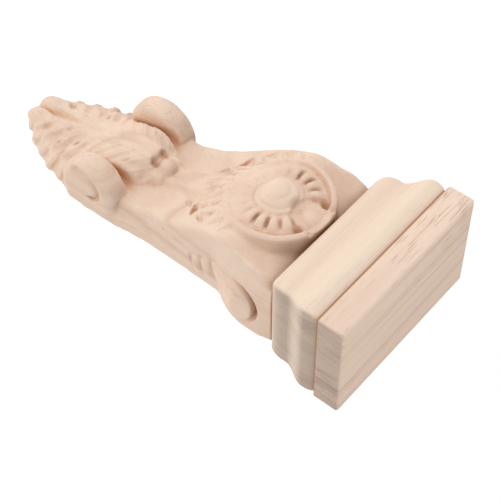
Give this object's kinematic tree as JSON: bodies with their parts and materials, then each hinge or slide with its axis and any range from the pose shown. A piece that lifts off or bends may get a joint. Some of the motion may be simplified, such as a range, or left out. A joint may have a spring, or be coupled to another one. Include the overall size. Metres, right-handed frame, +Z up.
{
  "type": "carved wood corbel",
  "caption": "Small carved wood corbel: cap slab on a moulded block, S-curved body with a rosette, side scrolls and a leaf between two rolls, flat back.",
  "frame": {"origin": "middle of the wall mount on the flat back, 98 mm below the top of the slab", "axes": "+Z up towards the cap slab, -Y out from the wall towards the carved front, +X to the right seen from the front"},
  "size_m": [0.08, 0.0464, 0.1946],
  "materials": {
    "board_wood": "bare, sanded, straight grain",
    "carved_wood": "bare, carved, straight grain"
  },
  "bodies": {
    "root": {"cap_slab": "board_wood", "cap_moulding": "board_wood", "carved_body": "carved_wood"}
  },
  "joints": []
}
